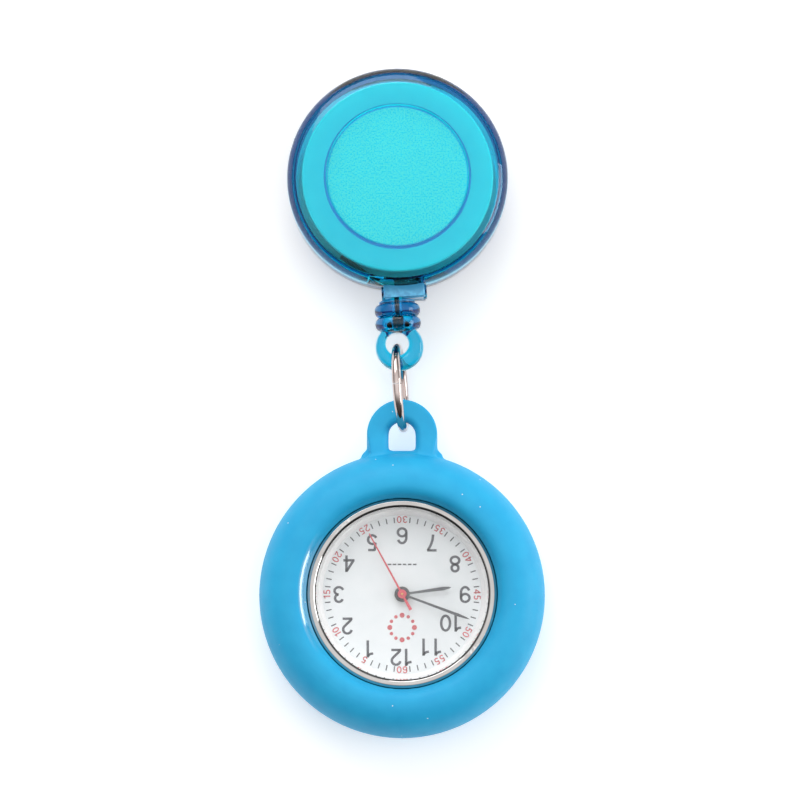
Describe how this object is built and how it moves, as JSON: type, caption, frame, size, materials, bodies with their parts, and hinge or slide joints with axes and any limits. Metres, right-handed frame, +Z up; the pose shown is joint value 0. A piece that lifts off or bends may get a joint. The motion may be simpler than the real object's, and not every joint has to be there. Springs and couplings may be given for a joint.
{
  "type": "retractable fob watch",
  "caption": "Clip-on fob watch: a quartz watch in a soft round case hangs by a steel ring from the cord of a round retractable reel with a belt clip.",
  "frame": {"origin": "centre of the whole outline, on the surface that the part lies on", "axes": "+Z up out of the dial and out of the reel's front, +Y from the watch towards the reel, +X across"},
  "size_m": [0.0412, 0.0968, 0.013],
  "materials": {
    "tinted_clear_plastic": "clear blue moulded plastic, glossy, fine grain in the round recess",
    "white_plastic": "moulded, satin",
    "spring_steel": "rolled strip, lightly polished",
    "cord": "braided black nylon",
    "nickel_steel": "bright nickel plate",
    "silicone": "sky blue silicone, matt with a soft sheen and a little dust",
    "polished_case": "polished chrome plate",
    "back_steel": "circular brushed",
    "mineral_glass": "flat polished mineral glass",
    "seal": "black nitrile, matt",
    "dial_paint": "smooth white paint with printed numerals",
    "ring_paint": "satin white",
    "hand_grey": "dark grey paint",
    "hand_red": "red paint",
    "plate_brass": "fine grained",
    "wheel_brass": "polished",
    "arbor_steel": "turned",
    "magnet": "sintered, grey",
    "soft_iron": "stamped sheet",
    "copper_wire": "enamelled copper wire, close wound",
    "cell_steel": "drawn can, satin",
    "board": "green laminate with a drop of black resin",
    "holder_plastic": "moulded, matt",
    "wheel_plastic": "moulded acetal"
  },
  "bodies": {
    "reel_housing": {"front_cover": "tinted_clear_plastic", "back_shell": "tinted_clear_plastic", "cord_lead": "cord", "clip_base": "spring_steel", "clip_rivet": "nickel_steel"},
    "clip_leaf": {"clip_leaf": "spring_steel"},
    "spool": {"spool": "white_plastic", "cord_winding": "cord", "power_spring": "spring_steel"},
    "cord_end": {"cord_tail": "cord", "cord_knot": "cord"},
    "fitting": {"end_fitting": "tinted_clear_plastic"},
    "ring": {"steel_ring": "nickel_steel"},
    "watch": {"silicone_case": "silicone", "watch_case": "polished_case", "stem_tube": "arbor_steel", "case_back": "back_steel", "back_gasket": "seal", "crystal": "mineral_glass", "crystal_gasket": "seal", "dial_ring": "ring_paint", "dial": "dial_paint", "main_plate": "plate_brass", "train_bridge": "plate_brass", "bridge_screws": "arbor_steel", "stator": "soft_iron", "coil_core": "soft_iron", "coil": "copper_wire", "battery": "cell_steel", "battery_clamp": "spring_steel", "circuit_board": "board", "crystal_can": "cell_steel", "movement_holder": "holder_plastic"},
    "second_wheel": {"second_wheel": "wheel_brass", "second_hand": "hand_red"},
    "rotor": {"rotor": "magnet"},
    "fifth_wheel": {"fifth_wheel": "wheel_plastic"},
    "third_wheel": {"third_wheel": "wheel_plastic"},
    "centre_wheel": {"centre_wheel": "wheel_brass", "minute_hand": "hand_grey"},
    "minute_wheel": {"minute_wheel": "wheel_plastic"},
    "hour_wheel": {"hour_wheel": "wheel_brass", "hour_hand": "hand_grey"},
    "setting_wheel": {"setting_wheel": "arbor_steel"},
    "setting_lever": {"setting_lever": "arbor_steel"},
    "crown": {"crown": "polished_case", "stem": "arbor_steel", "crown_seal": "seal"},
    "yoke": {"yoke": "arbor_steel"},
    "clutch": {"sliding_pinion": "arbor_steel"}
  },
  "joints": [
    {"name": "clip_flex", "type": "hinge", "parent": "reel_housing", "child": "clip_leaf", "pos_m": [-0.00146, 0.04578, 0.0018], "axis": [0.9982, 0.0593, 0], "range_deg": [0, 9], "stiffness_Nm_per_rad": 0.8},
    {"name": "cord_pull", "type": "slide", "parent": "reel_housing", "child": "cord_end", "axis": [0.0593, -0.9982, 0], "range_m": [0, 0.6], "stiffness_N_per_m": 1, "springref_m": -0.6, "deforming": ["cord_tail"]},
    {"name": "spool_spin", "type": "hinge", "parent": "reel_housing", "child": "spool", "pos_m": [-0.00067, 0.0324, 0.0076], "axis": [0, 0, 1], "range_deg": [0, 2755], "deforming": ["power_spring"]},
    {"name": "fitting_swivel", "type": "hinge", "parent": "cord_end", "child": "fitting", "pos_m": [-0.0006, 0.01187, 0.0076], "axis": [0.0593, -0.9982, 0], "continuous": true},
    {"name": "ring_swing", "type": "hinge", "parent": "fitting", "child": "ring", "pos_m": [-0.0006, 0.0056, 0.0076], "axis": [0.9938, 0.0695, 0.0872], "range_deg": [-66, 34]},
    {"name": "watch_swing", "type": "hinge", "parent": "ring", "child": "watch", "pos_m": [0, -0.001, 0.0058], "axis": [0.9938, 0.0695, 0.0872], "range_deg": [-75, 85]},
    {"name": "second_spin", "type": "hinge", "parent": "watch", "child": "second_wheel", "pos_m": [0, -0.0278, 0.004], "axis": [0, 0, -1], "continuous": true},
    {"name": "fifth_spin", "type": "hinge", "parent": "watch", "child": "fifth_wheel", "pos_m": [0.00108, -0.02593, 0.004], "axis": [0, 0, -1], "continuous": true},
    {"name": "rotor_spin", "type": "hinge", "parent": "watch", "child": "rotor", "pos_m": [0.00142, -0.024, 0.004], "axis": [0, 0, -1], "continuous": true},
    {"name": "third_spin", "type": "hinge", "parent": "watch", "child": "third_wheel", "pos_m": [-0.00108, -0.02967, 0.004], "axis": [0, 0, -1], "continuous": true},
    {"name": "minute_hand_spin", "type": "hinge", "parent": "watch", "child": "centre_wheel", "pos_m": [0, -0.0278, 0.004], "axis": [0, 0, -1], "continuous": true},
    {"name": "minute_wheel_spin", "type": "hinge", "parent": "watch", "child": "minute_wheel", "pos_m": [-0.00173, -0.0268, 0.004], "axis": [0, 0, -1], "continuous": true},
    {"name": "hour_hand_spin", "type": "hinge", "parent": "watch", "child": "hour_wheel", "pos_m": [0, -0.0278, 0.004], "axis": [0, 0, -1], "continuous": true},
    {"name": "setting_wheel_spin", "type": "hinge", "parent": "watch", "child": "setting_wheel", "pos_m": [-0.00393, -0.0268, 0.004], "axis": [0, 0, -1], "continuous": true},
    {"name": "crown_pull", "type": "slide", "parent": "watch", "child": "setting_lever", "axis": [-1, 0, 0], "range_m": [0, 0.0008]},
    {"name": "crown_turn", "type": "hinge", "parent": "setting_lever", "child": "crown", "pos_m": [-0.012, -0.0278, 0.00455], "axis": [-1, 0, 0], "continuous": true},
    {"name": "yoke_shift", "type": "slide", "parent": "watch", "child": "yoke", "axis": [-1, 0, 0], "range_m": [-0.0004, 0]},
    {"name": "clutch_shift", "type": "slide", "parent": "crown", "child": "clutch", "axis": [-1, 0, 0], "range_m": [-0.0012, 0]}
  ],
  "couplings": [
    {"joint": "spool_spin", "follows": "cord_pull", "rad_per_m": 80},
    {"joint": "fifth_spin", "follows": "second_spin", "ratio": -5},
    {"joint": "rotor_spin", "follows": "second_spin", "ratio": 30},
    {"joint": "third_spin", "follows": "second_spin", "ratio": -0.13333},
    {"joint": "minute_hand_spin", "follows": "second_spin", "ratio": 0.016667},
    {"joint": "minute_wheel_spin", "follows": "second_spin", "ratio": -0.0055556},
    {"joint": "hour_hand_spin", "follows": "second_spin", "ratio": 0.0013889},
    {"joint": "setting_wheel_spin", "follows": "second_spin", "ratio": 0.011905},
    {"joint": "yoke_shift", "follows": "crown_pull", "ratio": -0.5},
    {"joint": "clutch_shift", "follows": "crown_pull", "ratio": -1.5}
  ]
}
